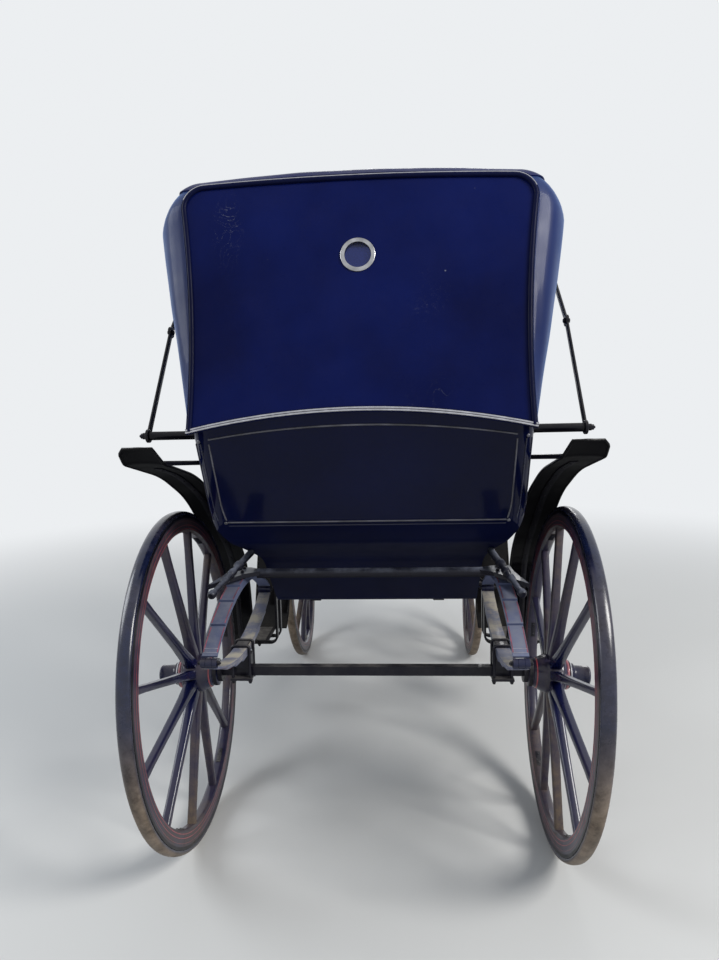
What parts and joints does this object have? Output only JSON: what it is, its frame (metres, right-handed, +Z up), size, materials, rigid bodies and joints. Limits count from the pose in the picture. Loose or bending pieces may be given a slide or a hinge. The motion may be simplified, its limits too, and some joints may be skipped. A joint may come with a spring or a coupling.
{
  "type": "horse drawn carriage",
  "caption": "Open passenger carriage with a folding leather hood, a coachman's seat, wings over spoked wheels, a steering fore-carriage and hinged shafts.",
  "frame": {"origin": "centre of the bounding box on the ground, midway between the back of the rear wheels and the tips of the shafts", "axes": "+Y forward along the carriage, +X to its right-hand side, +Z up"},
  "size_m": [1.4266, 4.8, 2.1678],
  "materials": {
    "navy_lacquer": "gloss",
    "black_iron": "semi-gloss",
    "patent_leather": "gloss",
    "seat_leather": "satin",
    "tyre_rubber": "satin",
    "bow_wood": "satin",
    "window_nickel": "polished",
    "window_glass": "polished"
  },
  "bodies": {
    "carriage_body": {"arm_squabs": "seat_leather", "back_squab": "seat_leather", "body_irons": "navy_lacquer", "body_tub": "navy_lacquer", "boot": "navy_lacquer", "box_cushion": "seat_leather", "box_seat_board": "navy_lacquer", "box_seat_rail": "black_iron", "dash": "patent_leather", "deck_board": "navy_lacquer", "front_wing_left": "patent_leather", "front_wing_right": "patent_leather", "hood_bows": "bow_wood", "hood_joint_irons": "black_iron", "hood_leather": "patent_leather", "king_pin": "black_iron", "lamp_sockets": "black_iron", "main_irons": "black_iron", "prop_irons": "black_iron", "rear_axle": "navy_lacquer", "rear_cross_bar": "navy_lacquer", "rear_spring_clips": "black_iron", "rear_springs": "navy_lacquer", "rear_wing_left": "patent_leather", "rear_wing_right": "patent_leather", "seat_box": "navy_lacquer", "seat_cushion": "seat_leather", "step_irons": "black_iron", "step_left": "black_iron", "step_right": "black_iron", "top_bed": "navy_lacquer", "upper_turn_plate": "black_iron", "window_glass": "window_glass", "window_ring": "window_nickel", "wing_stays": "black_iron"},
    "fore_carriage": {"front_axle": "navy_lacquer", "front_springs": "navy_lacquer", "front_spring_clips": "black_iron", "front_bed": "navy_lacquer", "lower_turn_plate": "black_iron", "futchells": "navy_lacquer", "splinter_bar": "navy_lacquer"},
    "shafts": {"shaft_left": "navy_lacquer", "shaft_right": "navy_lacquer", "shaft_irons": "black_iron", "shaft_tie_bar": "navy_lacquer"},
    "rear_wheel_left": {"rear_tyre_left": "tyre_rubber", "rear_wheel_left": "navy_lacquer", "rear_hub_cap_left": "navy_lacquer"},
    "rear_wheel_right": {"rear_tyre_right": "tyre_rubber", "rear_wheel_right": "navy_lacquer", "rear_hub_cap_right": "navy_lacquer"},
    "front_wheel_left": {"front_tyre_left": "tyre_rubber", "front_wheel_left": "navy_lacquer", "front_hub_cap_left": "navy_lacquer"},
    "front_wheel_right": {"front_tyre_right": "tyre_rubber", "front_wheel_right": "navy_lacquer", "front_hub_cap_right": "navy_lacquer"}
  },
  "joints": [
    {"name": "steering", "type": "hinge", "parent": "carriage_body", "child": "fore_carriage", "pos_m": [0, -0.13, 0.81], "axis": [0, 0, 1], "range_deg": [-45, 45]},
    {"name": "rear_wheel_left_turn", "type": "hinge", "parent": "carriage_body", "child": "rear_wheel_left", "pos_m": [-0.618, -1.85, 0.54914], "axis": [-0.9984, 0, -0.0558], "continuous": true},
    {"name": "rear_wheel_right_turn", "type": "hinge", "parent": "carriage_body", "child": "rear_wheel_right", "pos_m": [0.618, -1.85, 0.54914], "axis": [-0.9984, 0, 0.0558], "continuous": true},
    {"name": "front_wheel_left_turn", "type": "hinge", "parent": "fore_carriage", "child": "front_wheel_left", "pos_m": [-0.5, -0.13, 0.42933], "axis": [-0.9984, 0, -0.0558], "continuous": true},
    {"name": "front_wheel_right_turn", "type": "hinge", "parent": "fore_carriage", "child": "front_wheel_right", "pos_m": [0.5, -0.13, 0.42933], "axis": [-0.9984, 0, 0.0558], "continuous": true},
    {"name": "shaft_lift", "type": "hinge", "parent": "fore_carriage", "child": "shafts", "pos_m": [0, 0.446, 0.75873], "axis": [1, 0, 0], "range_deg": [0, 38]}
  ]
}
